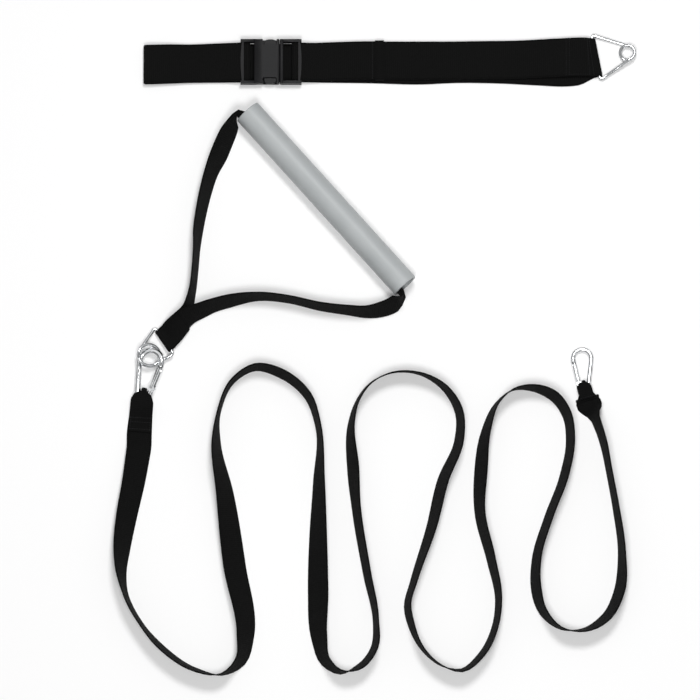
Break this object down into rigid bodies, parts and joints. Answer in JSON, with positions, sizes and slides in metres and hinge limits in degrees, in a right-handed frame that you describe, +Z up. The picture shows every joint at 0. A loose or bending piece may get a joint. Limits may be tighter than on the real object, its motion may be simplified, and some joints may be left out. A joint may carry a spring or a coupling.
{
  "type": "resistance sprint trainer",
  "caption": "Speed training set laid out flat: a quick-release waist belt with a ring, a rotating grip handle with a ring, and a webbing lead strap with a snap hook at either end",
  "frame": {"origin": "On the floor under the middle of the belt and the handle with their rings, the lead strap and its hooks left out", "axes": "+X runs along the belt from the buckle's end toward the belt ring, +Y from the lead strap toward the belt, +Z up from the floor"},
  "size_m": [0.6683, 0.835, 0.0351],
  "materials": {
    "belt_webbing": "fine plain weave, matte",
    "keeper_elastic": "ribbed elastic, matte",
    "housing_plastic": "satin",
    "tongue_plastic": "satin",
    "buckle_latch_left_plastic": "satin",
    "buckle_latch_right_plastic": "satin",
    "belt_ring_chrome": "polished",
    "tube_plastic": "smooth satin",
    "handle_webbing": "fine plain weave, matte",
    "handle_ring_chrome": "polished",
    "near_carabiner_frame_steel": "polished",
    "near_carabiner_gate_steel": "polished",
    "near_carabiner_pin_steel": "plain",
    "near_carabiner_spring_steel": "plain",
    "far_carabiner_frame_steel": "polished",
    "far_carabiner_gate_steel": "polished",
    "far_carabiner_pin_steel": "plain",
    "far_carabiner_spring_steel": "plain",
    "lead_webbing": "fine plain weave, matte"
  },
  "bodies": {
    "set": {"belt_strap": "belt_webbing", "buckle_housing": "housing_plastic", "buckle_tongue": "tongue_plastic", "handle_strap": "handle_webbing", "handle_ring": "handle_ring_chrome", "near_carabiner_frame": "near_carabiner_frame_steel", "near_carabiner_pin": "near_carabiner_pin_steel", "far_carabiner_frame": "far_carabiner_frame_steel", "far_carabiner_pin": "far_carabiner_pin_steel", "lead_strap": "lead_webbing"},
    "keeper": {"belt_keeper": "keeper_elastic"},
    "latch_left": {"buckle_latch_left": "buckle_latch_left_plastic"},
    "latch_right": {"buckle_latch_right": "buckle_latch_right_plastic"},
    "ring": {"belt_ring": "belt_ring_chrome"},
    "grip": {"handle_tube": "tube_plastic"},
    "near_gate": {"near_carabiner_gate": "near_carabiner_gate_steel", "near_carabiner_spring": "near_carabiner_spring_steel"},
    "far_gate": {"far_carabiner_gate": "far_carabiner_gate_steel", "far_carabiner_spring": "far_carabiner_spring_steel"}
  },
  "joints": [
    {"name": "keeper_slide", "type": "slide", "parent": "set", "child": "keeper", "axis": [1, 0, 0], "range_m": [-0.012, 0.012]},
    {"name": "latch_left_squeeze", "type": "hinge", "parent": "set", "child": "latch_left", "pos_m": [-0.14055, 0.19985, 0.00835], "axis": [0, 0, 1], "range_deg": [0, 8], "stiffness_Nm_per_rad": 0.3},
    {"name": "latch_right_squeeze", "type": "hinge", "parent": "set", "child": "latch_right", "pos_m": [-0.14055, 0.16185, 0.00835], "axis": [0, 0, -1], "range_deg": [0, 8], "stiffness_Nm_per_rad": 0.3},
    {"name": "belt_ring_swing", "type": "hinge", "parent": "set", "child": "ring", "pos_m": [0.26735, 0.18755, 0.0041], "axis": [0.1891, -0.982, 0], "range_deg": [0, 75]},
    {"name": "grip_spin", "type": "hinge", "parent": "set", "child": "grip", "pos_m": [-0.07815, 0.00065, 0.0175], "axis": [0.6652, -0.7466, 0], "continuous": true},
    {"name": "near_gate_open", "type": "hinge", "parent": "set", "child": "near_gate", "pos_m": [-0.30029, -0.24445, 0.01237], "axis": [-0.3426, 0.0577, 0.9377], "range_deg": [0, 20], "stiffness_Nm_per_rad": 0.05},
    {"name": "far_gate_open", "type": "hinge", "parent": "set", "child": "far_gate", "pos_m": [0.24443, -0.23781, 0.00568], "axis": [0.0034, -0.0595, -0.9982], "range_deg": [0, 15], "stiffness_Nm_per_rad": 0.05}
  ]
}
